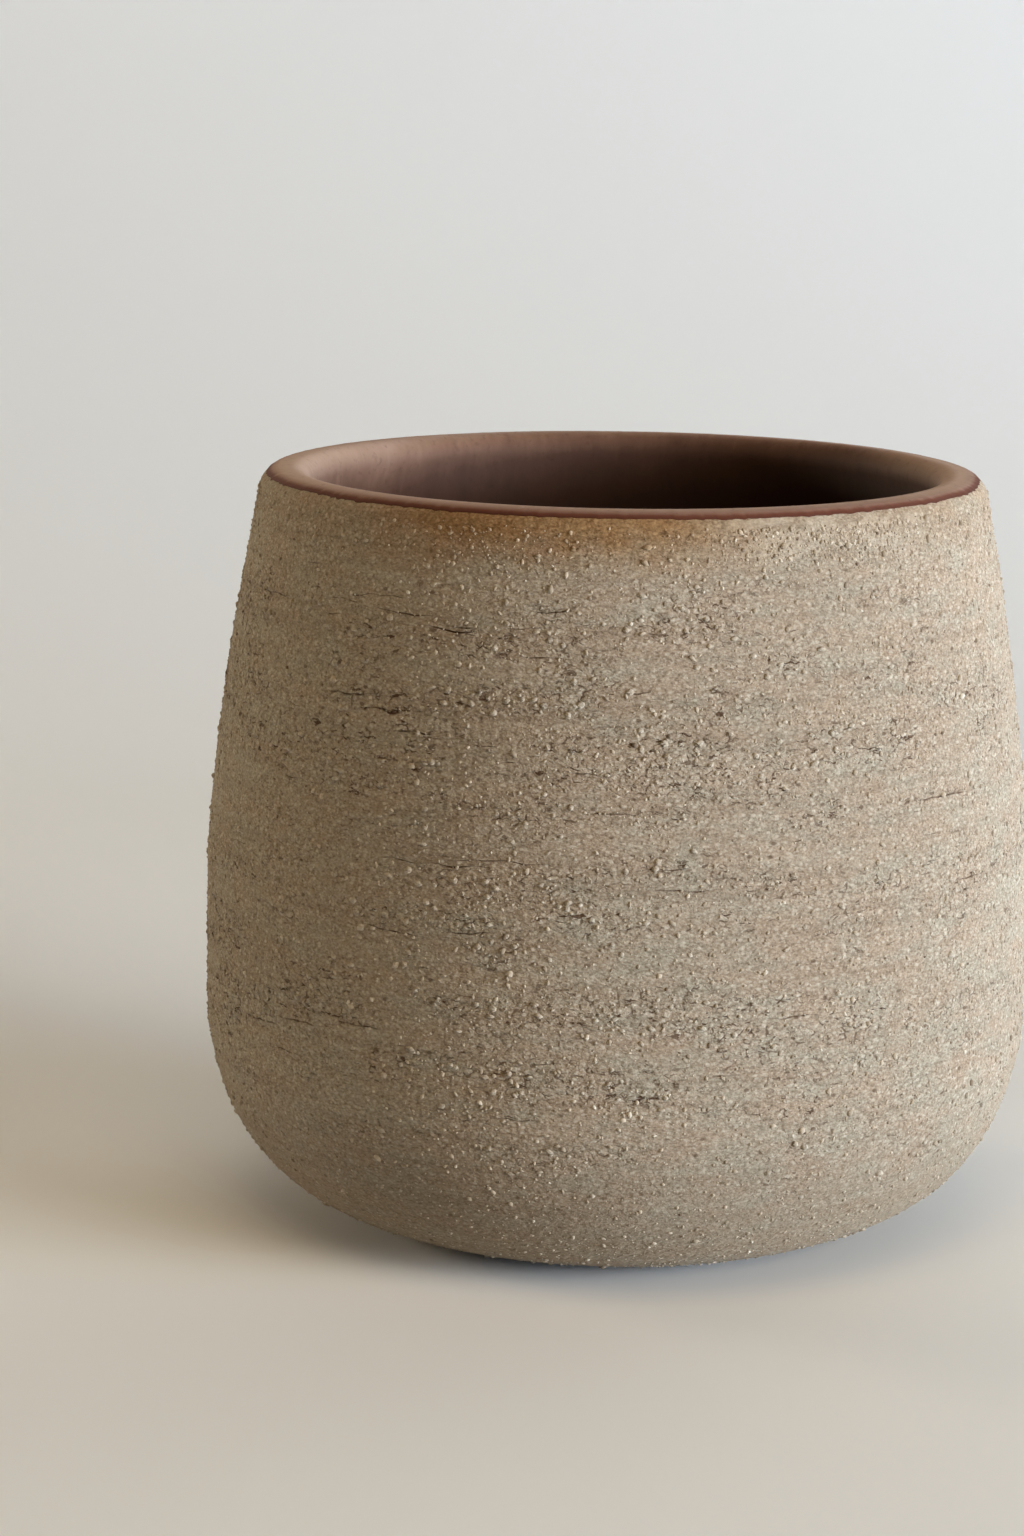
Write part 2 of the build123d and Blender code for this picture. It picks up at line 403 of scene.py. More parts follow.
def tornLumps(add, given, corners, rough, seed, shift):  # large and small, closest where the skin is torn
    torn = add("GeometryNodeInputNamedAttribute", {"data_type": "FLOAT", "Name": "tornHere"})
    made = []
    for label, kind, sizes, count in (
            ("Large", "GeometryNodeMeshIcoSphere", {"Radius": 1.0, "Subdivisions": 1}, 5),
            ("Small", "GeometryNodeMeshUVSphere", {"Radius": 1.0, "Segments": corners, "Rings": 2}, 3)):
        density = add("ShaderNodeMath", {"operation": "MULTIPLY"}, {0: torn, 1: given[label]})
        made.append(scattered(add, given["Geometry"], density, given["Seed"],
                              given[label + " Least"], given[label + " Most"],
                              chips(add, kind, sizes, count, rough, seed), skin["lumpTilt"], shift))
    return made


def tearSkin():
    tree, add, given = newTree("tearSkin", lumpInputs + [
        ("Groove Seeds", "NodeSocketObject", None), ("Groove Least", "NodeSocketFloat", 0.0),
        ("Groove Most", "NodeSocketFloat", 0.0), ("Loose Faces", "NodeSocketFloat", 0.0),
    ])
    body = given["Geometry"]
    cutters = tornLumps(add, given, corners=5, rough=0.38, seed=20, shift=None)
    # grooves: a short line laid along the ring, bent onto the wall, thick in the middle and gone at its ends
    seeds = add("GeometryNodeObjectInfo", links={"Object": given["Groove Seeds"]})
    place = add("GeometryNodeInputPosition")
    level = add("ShaderNodeVectorMath", {"operation": "MULTIPLY", 1: (1, 1, 0)}, {0: place})
    ringwise = add("ShaderNodeVectorMath", {"operation": "CROSS_PRODUCT", 0: (0, 0, 1)}, {1: level})
    along = add("FunctionNodeAxesToRotation", {
        "primary_axis": "X", "secondary_axis": "Z", 1: (0, 0, 1)}, {0: ringwise})
    lean = add("FunctionNodeRandomValue", {
        "data_type": "FLOAT", 2: -skin["grooveLean"], 3: skin["grooveLean"], "Seed": 9})
    spin = add("FunctionNodeAxisAngleToRotation", {"Axis": (0, 1, 0)}, {"Angle": lean.outputs[1]})
    turnedTo = add("FunctionNodeRotateRotation", {"rotation_space": "LOCAL"}, {0: along, 1: spin})
    length = add("GeometryNodeInputNamedAttribute", {"data_type": "FLOAT", "Name": "grooveLength"})
    stretch = add("ShaderNodeCombineXYZ", {1: 1.0, 2: 1.0}, {0: length})
    line = add("GeometryNodeCurvePrimitiveLine", {"Start": (-0.5, 0, 0), "End": (0.5, 0, 0)})
    fine = add("GeometryNodeResampleCurve", {"Count": 13}, {0: line})
    laid = add("GeometryNodeInstanceOnPoints", links={
        "Points": seeds.outputs["Geometry"], "Instance": fine, "Rotation": turnedTo, "Scale": stretch})
    lines = add("GeometryNodeRealizeInstances", links={0: laid})
    nearest = add("GeometryNodeProximity", {"target_element": "FACES"}, {0: body})
    waver = add("ShaderNodeTexNoise", {"Scale": skin["waversPerM"], "Detail": 2.0})
    wave = add("ShaderNodeMapRange", {"To": (-skin["waverMm"] * mm, skin["waverMm"] * mm)}, {"Value": waver})
    sideways = add("ShaderNodeCombineXYZ", links={2: wave})
    onWall = add("GeometryNodeSetPosition", links={
        "Geometry": lines, "Position": nearest.outputs["Position"], "Offset": sideways})
    way = add("GeometryNodeSplineParameter")
    centred = add("ShaderNodeMapRange", {"To": (-1.0, 1.0)}, {"Value": way.outputs["Factor"]})
    squared = add("ShaderNodeMath", {"operation": "MULTIPLY"}, {0: centred, 1: centred})
    taper = add("ShaderNodeMath", {"operation": "SUBTRACT", 0: 1.04}, {1: squared})
    strength = add("GeometryNodeInputNamedAttribute", {"data_type": "FLOAT", "Name": "grooveStrength"})
    grit = add("FunctionNodeRandomValue", {"data_type": "FLOAT", "Seed": 12},
               {2: given["Groove Least"], 3: given["Groove Most"]})
    wide = add("ShaderNodeMath", {"operation": "MULTIPLY"}, {0: grit.outputs[1], 1: strength})
    thick = add("ShaderNodeMath", {"operation": "MULTIPLY"}, {0: wide, 1: taper})
    ring = add("GeometryNodeCurvePrimitiveCircle", {"Resolution": 5, "Radius": 0.5})
    tubes = add("GeometryNodeCurveToMesh", {"Fill Caps": True}, {
        "Curve": onWall, "Profile Curve": ring, "Scale": thick})
    carved = add("GeometryNodeMeshBoolean", {
        "operation": "DIFFERENCE", "solver": "MANIFOLD"}, {0: body, 1: cutters + [tubes]})
    # flakes that the cutters left hanging loose are dropped
    island = add("GeometryNodeInputMeshIsland")
    counted = add("GeometryNodeAccumulateField", {"data_type": "INT", "domain": "FACE", 0: 1}, {1: island})
    loose = add("ShaderNodeMath", {"operation": "LESS_THAN"},
                {0: counted.outputs["Total"], 1: given["Loose Faces"]})
    whole = add("GeometryNodeDeleteGeometry", {"domain": "FACE"}, {0: carved, "Selection": loose})
    # depth of each point below the uncut skin; the clay's colour darkens with it as painted shade in the pits
    below = add("GeometryNodeProximity", {"target_element": "FACES"}, {0: body})
    kept = add("GeometryNodeStoreNamedAttribute", {
        "data_type": "FLOAT", "domain": "POINT", "Name": "tornDepth"},
        {0: whole, "Value": below.outputs["Distance"]})
    for label, name in (("tornHere", "roughHere"), ("raised", "raised")):   # what the uncut skin said there
        source = add("GeometryNodeInputNamedAttribute", {"data_type": "FLOAT", "Name": label})
        before = add("GeometryNodeSampleNearestSurface", {"data_type": "FLOAT"},
                     {"Mesh": body, "Value": source})
        kept = add("GeometryNodeStoreNamedAttribute", {
            "data_type": "FLOAT", "domain": "POINT", "Name": name}, {0: kept, "Value": before})
    endTree(add, kept, given["Clay"])
    return tree


def liftCrumbs():  # the clay that the tool dragged out of each tear lies at its end
    tree, add, given = newTree("liftCrumbs", lumpInputs + [("Shift", "NodeSocketVector", None)])
    heap = add("GeometryNodeJoinGeometry", links={
        0: tornLumps(add, given, corners=4, rough=0.26, seed=80, shift=given["Shift"])})
    torn = add("GeometryNodeInputNamedAttribute", {"data_type": "FLOAT", "Name": "tornHere"})
    before = add("GeometryNodeSampleNearestSurface", {"data_type": "FLOAT"},
                 {"Mesh": given["Geometry"], "Value": torn})
    coarse = add("GeometryNodeStoreNamedAttribute", {
        "data_type": "FLOAT", "domain": "POINT", "Name": "roughHere"}, {0: heap, "Value": before})
    high = add("GeometryNodeStoreNamedAttribute", {
        "data_type": "FLOAT", "domain": "POINT", "Name": "raised", "Value": 1.0}, {0: coarse})
    endTree(add, high, given["Clay"])
    return tree


def scatterGrog():
    tree, add, given = newTree("scatterGrog", [
        ("Geometry", "NodeSocketGeometry", None), ("Density", "NodeSocketFloat", 0.0),
        ("Seed", "NodeSocketInt", 0), ("Least", "NodeSocketVector", None), ("Most", "NodeSocketVector", None),
        ("Shift", "NodeSocketVector", None), ("Cells", "NodeSocketFloat", 1.0),
        ("Octahedra", "NodeSocketBool", False), ("Grog", "NodeSocketMaterial", None),
    ])
    here = add("GeometryNodeInputNamedAttribute", {"data_type": "FLOAT", "Name": "grainHere"})
    density = add("ShaderNodeMath", {"operation": "MULTIPLY"}, {0: here, 1: given["Density"]})
    plain = chips(add, "GeometryNodeMeshUVSphere", {"Radius": 1.0, "Segments": 4, "Rings": 2},
                  count=3, rough=0.2, seed=40)
    lumpy = chips(add, "GeometryNodeMeshIcoSphere", {"Radius": 1.0, "Subdivisions": 1},
                  count=6, rough=0.26, seed=60)
    pile = add("GeometryNodeSwitch", {"input_type": "GEOMETRY"}, {
        "Switch": given["Octahedra"], "False": lumpy, "True": plain})
    grains = scattered(add, given["Geometry"], density, given["Seed"],
                       given["Least"], given["Most"], pile, grog["tilt"], given["Shift"])
    island = add("GeometryNodeInputMeshIsland")
    tone = add("FunctionNodeRandomValue", {"data_type": "FLOAT", 2: 0.0, 3: 1.0, "Seed": 31},
               {"ID": island.outputs["Island Index"]})
    toned = add("GeometryNodeStoreNamedAttribute", {
        "data_type": "FLOAT", "domain": "POINT", "Name": "grainTone"}, {0: grains, "Value": tone.outputs[1]})
    # every grain has its own cell in the map that its colour is kept in
    column = add("ShaderNodeMath", {"operation": "MODULO"},
                 {0: island.outputs["Island Index"], 1: given["Cells"]})
    ratio = add("ShaderNodeMath", {"operation": "DIVIDE"},
                {0: island.outputs["Island Index"], 1: given["Cells"]})
    row = add("ShaderNodeMath", {"operation": "FLOOR"}, {0: ratio})
    corner = add("ShaderNodeCombineXYZ", links={0: column, 1: row})
    facing = add("GeometryNodeInputNormal")
    level = add("ShaderNodeVectorMath", {
        "operation": "MULTIPLY_ADD", 1: (0.35, 0.35, 0.0), 2: (0.5, 0.5, 0)}, {0: facing})
    spot = add("ShaderNodeVectorMath", {"operation": "ADD"}, {0: corner, 1: level})
    share = add("ShaderNodeMath", {"operation": "DIVIDE", 0: 1.0}, {1: given["Cells"]})
    cell = add("ShaderNodeVectorMath", {"operation": "SCALE"}, {0: spot, "Scale": share})
    mapped = add("GeometryNodeStoreNamedAttribute", {
        "data_type": "FLOAT2", "domain": "CORNER", "Name": "OFBake"}, {0: toned, "Value": cell})
    endTree(add, mapped, given["Grog"])
    return tree


def newMaterial(name):  # an empty material, what adds a node to it, and the place on the piece in mm
    material = bpy.data.materials.new(name)
    material.use_nodes = True
    material.node_tree.nodes.clear()
    add = partial(addNode, material.node_tree)
    place = add("ShaderNodeVectorMath", {"operation": "SCALE", "Scale": 1 / mm},
                {0: add("ShaderNodeTexCoord").outputs["Object"]})
    return material, add, place


# Raw grogged stoneware, turned leather hard and fired bare: dry, matt and sandy, a taupe that wanders between
# warm and grey-green, crumbly where the tool tore it, golden under the glaze where the iron has crept into it
clay = {
    "warm": "#b19e87", "grey": "#afa591", "dark": "#6f5d46", "cream": "#cec3af", "pepper": "#5f4a36",
    # torn: the dark brown of torn clay, used mostly as painted shade in the creases between lumps (gap), the
    # tears (tear) and the pits, darker the deeper they go (pit)
    "torn": "#4a2c12",
    # how the patterns lie: level, as the wheel turned them, so a smaller number is a longer streak that way
    "stretch": {"level": (0.5, 0.5, 1.2), "low": (0.75, 0.75, 1.15), "rings": (0.03, 0.03, 1.0),
                "flat": (0.75, 0.75, 1.35), "dragged": (0.55, 0.55, 1.7)},
    # how each lies, its size in mm, detail and unevenness; dust is coarser than real, or it would not show
    "patterns": {
        "blotch": ("plain", 22.0, 2.0, 0.5), "patch": ("level", 2.6, 3.0, 0.6),
        "sand": ("low", 0.42, 3.0, 0.7), "dust": ("low", 0.22, 1.0, 0.5), "streak": ("rings", 0.8, 2.0, 0.5),
        "grit": ("low", 0.3, 2.0, 0.5), "tear": ("dragged", 0.9, 3.0, 0.6), "gate": ("plain", 0.75, 1.0, 0.5),
    },
    "lumpMm": 0.95, "bendMm": 0.8, "bendBy": 0.5, "blotchShare": 0.35,
    # where each colour shows, from none to all, in the values of its pattern; heel by height, pit by depth
    "showsAt": {
        "grey": (0.55, 0.85), "sandDark": (0.56, 0.32), "dustLight": (0.54, 0.72), "dustDark": (0.46, 0.28),
        # heel: darker towards the foot, partly a darker trimmed heel and partly painted shade near the floor
        "streakDark": (0.55, 0.3), "heel": (18.0, 7.0), "gate": (0.54, 0.64), "gap": (0.11, 0.03),
        "tear": (0.62, 0.67), "top": (0.42, 0.15), "pit": (0.02 * mm, 0.12 * mm), "crumb": (0.0, 1.0),
    },
    # grains level with the surface: cell size in mm, how near its middle, and the share of cells left empty
    "specks": {"cream": (0.6, 0.36, 0.45), "pepper": (1.6, 0.17, 0.62)}, "speckCore": 0.55,
    # the colours from the bottom up: which, where, and how much of it
    "layers": [
        ("dark", "sandDark", 0.5), ("cream", "dustLight", 0.55), ("dark", "dustDark", 0.5),
        ("dark", "streakDark", 0.2), ("cream", "cream", 0.6), ("pepper", "pepper", 0.7),
        # top is a painted highlight: the raised middles of the lumps are laid paler, where the tops catch the
        # light
        ("dark", "heel", 0.4), ("cream", "top", 0.75), ("cream", "crumb", 0.35),
        # painted shade: the torn colour fills the creases, the tears and the pits, the pits darker the deeper
        # they are
        ("torn", "gap", 0.6), ("torn", "tear", 0.85), ("torn", "pit", 0.95),
    ],
    "reliefMm": {"lump": 0.20, "grit": 0.20, "sand": 0.115, "streak": 0.05, "gap": -0.06, "tear": -0.16,
                 "crumb": 0.1},
    "livelier": 0.6, "lively": 0.5,      # share of the relief: more where torn, and on plain skin
    # stain that the glaze's iron leaves below it: what it lets through, and where it fades, in mm
    "ochre": "#e3c49c", "stainMm": (69.0, 74.6), "creepMm": 4.0, "creepReach": 5.0,
    "stainFrontMm": (9, 22), "stainMiddleMm": -6.0, "stainLeast": 0.2, "stainMost": 1.0,
}


def ironStain(add, place, colour, most):  # golden under the lip, strongest in front, on clay and grains alike
    creep = add("ShaderNodeTexNoise", {"Scale": 1 / clay["creepMm"], "Detail": 3.0}, {0: place})
    axes = add("ShaderNodeSeparateXYZ", links={0: place})
    wander = add("ShaderNodeMath", {"operation": "MULTIPLY_ADD", 1: clay["creepReach"]},
                 {0: creep, 2: axes.outputs["Z"]})
    low, high = (height + clay["creepReach"] / 2 for height in clay["stainMm"])   # noise is a half on average
    fade = add("ShaderNodeMapRange", {"interpolation_type": "SMOOTHSTEP", "From": (low, high)}, {0: wander})
    centred = add("ShaderNodeMath", {"operation": "SUBTRACT", 1: clay["stainMiddleMm"]},
                  {0: axes.outputs["X"]})
    sideways = add("ShaderNodeMath", {"operation": "ABSOLUTE"}, {0: centred})
    near, far = clay["stainFrontMm"]
    front = add("ShaderNodeMapRange", {
        "interpolation_type": "SMOOTHSTEP", "From": (far, near),
        "To": (clay["stainLeast"] * most, most)}, {0: sideways})
    share = add("ShaderNodeMath", {"operation": "MULTIPLY"}, {0: fade, 1: front})
    return add("ShaderNodeMix", {
        "data_type": "RGBA", "blend_type": "MULTIPLY", 7: linearOf(clay["ochre"])},
        {0: share, 6: colour}).outputs[2]


def stonewareMaterial():
    material, add, place = newMaterial("rawGroggedStoneware")
    axes = add("ShaderNodeSeparateXYZ", links={0: place})
    torn, depth, crumb = (add("ShaderNodeAttribute", {"attribute_name": label}).outputs["Fac"]
                          for label in ("roughHere", "tornDepth", "raised"))
    here = add("ShaderNodeMapRange", links={0: torn})
    # the lumps and tears are bent as well as flattened
    swirl = add("ShaderNodeTexNoise", {"Scale": 1 / clay["bendMm"], "Detail": 1.0}, {0: place})
    bend = add("ShaderNodeVectorMath", {
        "operation": "MULTIPLY_ADD", 1: (clay["bendBy"],) * 3, 2: (-clay["bendBy"] / 2,) * 3},
        {0: swirl.outputs["Color"]})
    bent = add("ShaderNodeVectorMath", {"operation": "ADD"}, {0: place, 1: bend})
    lies = {"plain": place}
    for label, scale in clay["stretch"].items():
        lies[label] = add("ShaderNodeMapping", {"Scale": scale},
                          {0: bent if label in ("flat", "dragged") else place})
    grain = {}
    for label, (way, size, detail, uneven) in clay["patterns"].items():
        grain[label] = add("ShaderNodeTexNoise", {
            "Scale": 1 / size, "Detail": detail, "Roughness": uneven}, {0: lies[way]})
    lumps, edges = (
        add("ShaderNodeTexVoronoi", {"Scale": 1 / clay["lumpMm"], "feature": feature}, {0: lies["flat"]})
        for feature in ("F1", "DISTANCE_TO_EDGE"))
    warmth = add("ShaderNodeMath", {"operation": "MULTIPLY_ADD", 1: clay["blotchShare"]},
                 {0: grain["blotch"], 2: grain["patch"]})
    shown = {
        "grey": warmth, "sandDark": grain["sand"], "dustLight": grain["dust"], "dustDark": grain["dust"],
        "streakDark": grain["streak"], "heel": axes.outputs["Z"], "gate": grain["gate"], "gap": edges,
        "tear": grain["tear"], "top": lumps, "pit": depth, "crumb": crumb,
    }
    for label, values in clay["showsAt"].items():
        shown[label] = add("ShaderNodeMapRange", {"From": values}, {0: shown[label]})
    for label, factor in (("gap", shown["gate"]), ("top", shown["gate"]),
                          ("gap", here), ("top", here), ("tear", here)):
        shown[label] = add("ShaderNodeMath", {"operation": "MULTIPLY"}, {0: shown[label], 1: factor})
    for label, (size, near, empty) in clay["specks"].items():
        cells = add("ShaderNodeTexVoronoi", {"Scale": 1 / size}, {0: lies["low"]})
        lot = add("ShaderNodeSeparateColor", links={0: cells.outputs["Color"]})
        drawn = add("ShaderNodeMath", {"operation": "GREATER_THAN", 1: empty}, {0: lot})
        spot = add("ShaderNodeMapRange", {"From": (near, near * clay["speckCore"])}, {0: cells})
        shown[label] = add("ShaderNodeMath", {"operation": "MULTIPLY"}, {0: spot, 1: drawn})
    warm, grey = linearOf(clay["warm"]), linearOf(clay["grey"])
    colour = add("ShaderNodeMix", {"data_type": "RGBA", 6: warm, 7: grey}, {0: shown["grey"]}).outputs[2]
    # among these layers gap, tear and pit lay painted shade, heel partly painted shade, and top a painted
    # highlight
    for tone, label, most in clay["layers"]:
        share = add("ShaderNodeMath", {"operation": "MULTIPLY", 1: most}, {0: shown[label]})
        colour = add("ShaderNodeMix", {"data_type": "RGBA", 7: linearOf(clay[tone])},
                     {0: share, 6: colour}).outputs[2]
    # relief in millimetres, livelier where the skin is torn
    lively = add("ShaderNodeMath", {
        "operation": "MULTIPLY_ADD", 1: clay["livelier"], 2: clay["lively"]}, {0: here})
    sunk = add("ShaderNodeMath", {"operation": "MULTIPLY", 1: -clay["reliefMm"]["lump"]}, {0: lumps})
    rise = add("ShaderNodeMath", {"operation": "MULTIPLY_ADD", 1: clay["reliefMm"]["grit"]},
               {0: grain["grit"], 2: sunk})
    relief = add("ShaderNodeMath", {"operation": "MULTIPLY"}, {0: rise, 1: lively})
    for label, source in (("sand", grain["sand"]), ("streak", grain["streak"]), ("gap", shown["gap"]),
                          ("tear", shown["tear"]), ("crumb", shown["crumb"])):
        relief = add("ShaderNodeMath", {"operation": "MULTIPLY_ADD", 1: clay["reliefMm"][label]},
                     {0: source, 2: relief})
    bump = add("ShaderNodeBump", {"Strength": 1.0, "Distance": mm}, {"Height": relief})
    shader = add("ShaderNodeBsdfPrincipled", {
        "Roughness": 0.95, "Diffuse Roughness": 0.8, "IOR": 1.45, "Specular IOR Level": 0.2},
        {"Base Color": ironStain(add, place, colour, clay["stainMost"]), "Normal": bump})
    add("ShaderNodeOutputMaterial", links={0: shader})
    return material


# Grog, crushed fired clay, with some quartz: matt, cream to white, and a few brown grains of iron
grog = {
    "tones": [(0.0, "#66523e"), (0.05, "#8a7b65"), (0.12, "#a2937c"), (0.6, "#b5a68f"), (0.93, "#c8b9a2"),
              (0.985, "#d8d0bd")],
    # dust on the grains in mm, coarser than real, or it would not show
    "dustMm": 0.15, "dustReliefMm": 0.05, "dustAt": (0.7, 0.3), "dustMost": 0.25, "stainMost": 0.55,
    "tilt": 1.6, "cells": 160.0,      # radians off level at most, and cells along one side of the colour map
}


def grogMaterial():
    material, add, place = newMaterial("firedGrog")
    tone = add("ShaderNodeAttribute", {"attribute_name": "grainTone"})
    colour = add("ShaderNodeValToRGB", {"stops": grog["tones"]}, {0: tone.outputs["Fac"]})
    dust = add("ShaderNodeTexNoise", {"Scale": 1 / grog["dustMm"], "Detail": 2.0}, {0: place})
    shade = add("ShaderNodeMapRange", {"From": grog["dustAt"], "To Max": grog["dustMost"]}, {0: dust})
    dusty = add("ShaderNodeMix", {"data_type": "RGBA", 7: linearOf(clay["warm"])}, {0: shade, 6: colour})
    bump = add("ShaderNodeBump", {"Strength": 0.3, "Distance": grog["dustReliefMm"] * mm}, {"Height": dust})
    shader = add("ShaderNodeBsdfPrincipled", {
        "Roughness": 0.85, "Diffuse Roughness": 0.6, "IOR": 1.5, "Specular IOR Level": 0.35},
        {"Base Color": ironStain(add, place, dusty.outputs[2], grog["stainMost"]), "Normal": bump})
    add("ShaderNodeOutputMaterial", links={0: shader})
    return material


# Iron glaze with a satin surface: glassy but soft, near black where it lies thick inside, breaking to rust
# below the lip and to a dry pinkish brown where it thins over the lip; paler still on the lip's top as a
# painted highlight, and darker inside towards the back and right as painted shade
iron = {
    # mm from the glaze's outer edge, over the lip and down the inside, and the colour there
    # from 1.8 to 4.2 mm the lip's top is paler: partly the glaze thinning there, partly a painted highlight
    "stops": [(0.0, "#4a220d"), (0.35, "#5d2d18"), (0.82, "#8d6a57"), (1.8, "#a2836f"), (2.8, "#ab8e7b"),
              (4.2, "#947560"), (5.4, "#846350"), (6.8, "#6e503f"), (9.0, "#573b2d"), (13.0, "#473024"),
              (20.0, "#392720"), (40.0, "#33251e"), (100.0, "#31241d")],
    "runMm": 100.0, "peelMm": 0.9, "peelReliefMm": 0.1,
    "mottleMm": 2.4, "mottleStretch": (1.0, 1.0, 0.35), "mottleAt": (0.25, 0.75), "mottleBy": (0.86, 1.14),
    "fleck": "#3a2218", "fleckMm": 0.7, "fleckAt": (0.58, 0.76), "fleckMost": 0.25,
    "dryMm": (3.0, 10.0), "dryRough": 0.85, "satinRough": 0.42,
    # painted shade: inside, the colour run is stretched towards the back and right, so the wall darkens
    # sooner where it lies in shade; which way, where that starts and ends, and by how much
    "shadeTowards": (0.8, 0.6, 0.0), "shadeFromToMm": (-8.0, 33.0), "thin": 0.95, "thick": 2.4, "lipMm": (1.5, 3.5),
    # painted highlight: the lip's top is laid paler towards both sides; how far out from the middle, and
    # between which runs from the edge
    "lipSideHighlight": "#c4a78e", "lipSideHighlightMm": (24.0, 35.0), "lipSideHighlightRunMm": (0.5, 1.4, 3.5, 5.5), "lipSideHighlightMost": 0.6,
}


def glazeMaterial():
    material, add, place = newMaterial("satinIronGlaze")
    axes = add("ShaderNodeSeparateXYZ", links={0: place})
    run = add("ShaderNodeMath", {"operation": "MULTIPLY", 1: 1 / mm},
              {0: add("ShaderNodeAttribute", {"attribute_name": "fromEdge"}).outputs["Fac"]})
    drips = add("ShaderNodeMapping", {"Scale": iron["mottleStretch"]}, {0: place})
    mottle = add("ShaderNodeTexNoise", {
        "Scale": 1 / iron["mottleMm"], "Detail": 4.0, "Roughness": 0.6}, {0: drips})
    stray = add("ShaderNodeMapRange", {"From": iron["mottleAt"], "To": iron["mottleBy"]}, {0: mottle})
    # painted shade: the run darkens sooner inside towards the back and right
    shadeWay = add("ShaderNodeVectorMath", {"operation": "DOT_PRODUCT", 1: iron["shadeTowards"]}, {0: place})
    side = add("ShaderNodeMapRange", {"From": iron["shadeFromToMm"], "To": (iron["thin"], iron["thick"])},
               {0: shadeWay.outputs["Value"]})
    inside, overLip = (add("ShaderNodeMapRange", {"From": iron[label]}, {0: run})
                       for label in ("dryMm", "lipMm"))
    uneven = add("ShaderNodeMath", {"operation": "MULTIPLY"}, {0: stray, 1: side})
    thick = add("ShaderNodeMix", {2: 1.0}, {0: overLip, 3: uneven})
    along = add("ShaderNodeMath", {"operation": "MULTIPLY"}, {0: run, 1: thick})
    share = add("ShaderNodeMath", {"operation": "DIVIDE", 1: iron["runMm"]}, {0: along})
    depth = add("ShaderNodeValToRGB", {
        "stops": [(at / iron["runMm"], tone) for at, tone in iron["stops"]]}, {0: share})
    outward = add("ShaderNodeMath", {"operation": "ABSOLUTE"}, {0: axes.outputs["X"]})
    # painted highlight on the lip's top towards both sides
    sideHighlight = add("ShaderNodeMapRange", {"From": iron["lipSideHighlightMm"], "To Max": iron["lipSideHighlightMost"]}, {0: outward})
    for ends in (iron["lipSideHighlightRunMm"][:2], iron["lipSideHighlightRunMm"][:1:-1]):   # in from the edge, and out again
        onLip = add("ShaderNodeMapRange", {"From": ends}, {0: run})
        sideHighlight = add("ShaderNodeMath", {"operation": "MULTIPLY"}, {0: sideHighlight, 1: onLip})
    fleck, peel = (add("ShaderNodeTexNoise", {"Scale": 1 / iron[label], "Detail": 2.0}, {0: place})
                   for label in ("fleckMm", "peelMm"))
    fleckShare = add("ShaderNodeMapRange", {"From": iron["fleckAt"], "To Max": iron["fleckMost"]}, {0: fleck})
    colour = depth.outputs[0]
    for tone, share in (("lipSideHighlight", sideHighlight), ("fleck", fleckShare)):
        colour = add("ShaderNodeMix", {"data_type": "RGBA", 7: linearOf(iron[tone])},
                     {0: share, 6: colour}).outputs[2]
    soft = add("ShaderNodeMapRange", {"To": (iron["dryRough"], iron["satinRough"])}, {0: inside})
    bump = add("ShaderNodeBump", {"Strength": 0.25, "Distance": iron["peelReliefMm"] * mm}, {"Height": peel})
    shader = add("ShaderNodeBsdfPrincipled", {"IOR": 1.5, "Specular IOR Level": 0.3}, {
        "Base Color": colour, "Roughness": soft, "Normal": bump})
    add("ShaderNodeOutputMaterial", links={0: shader})
    return material


stoneware, firedGrog, ironGlaze = stonewareMaterial(), grogMaterial(), glazeMaterial()


def lumpSizes(large, small):  # what both trees are told about their lumps
    told = {"Large": skin["pitsPerMm2"] / mm ** 2, "Small": skin["smallPitsPerMm2"] / mm ** 2,
            "Seed": skin["seed"], "Clay": stoneware}
    for label, (least, most) in (("Large", large), ("Small", small)):
        told[label + " Least"], told[label + " Most"] = [v * mm for v in least], [v * mm for v in most]
    return told


tornWall = plainMesh("clay_wall", bareWall, tearSkin(), {
    **lumpSizes(skin["pit"], skin["smallPit"]),
    "Groove Seeds": seedHost, "Loose Faces": float(skin["looseFaces"]),
    "Groove Least": skin["grooveWidth"][0] * mm, "Groove Most": skin["grooveWidth"][1] * mm,
})
bpy.data.objects.remove(seedHost)
crumbs = plainMesh("clay_crumbs", bareWall, liftCrumbs(), {
    **lumpSizes(skin["crumb"], skin["smallCrumb"]), "Shift": skin["crumbShift"],
})


def denser(path, step):  # the same path in even steps, and how far along each point lies
    length = np.concatenate([[0], np.cumsum(np.linalg.norm(np.diff(path, axis=0), axis=1))])
    at = np.linspace(0, length[-1], int(length[-1] / step))
    return np.stack([np.interp(at, length, path[:, i]) for i in (0, 1)], 1), at


colourMap = {"stepMm": 0.2, "room": 1.01}    # room for the faces that cross the seam


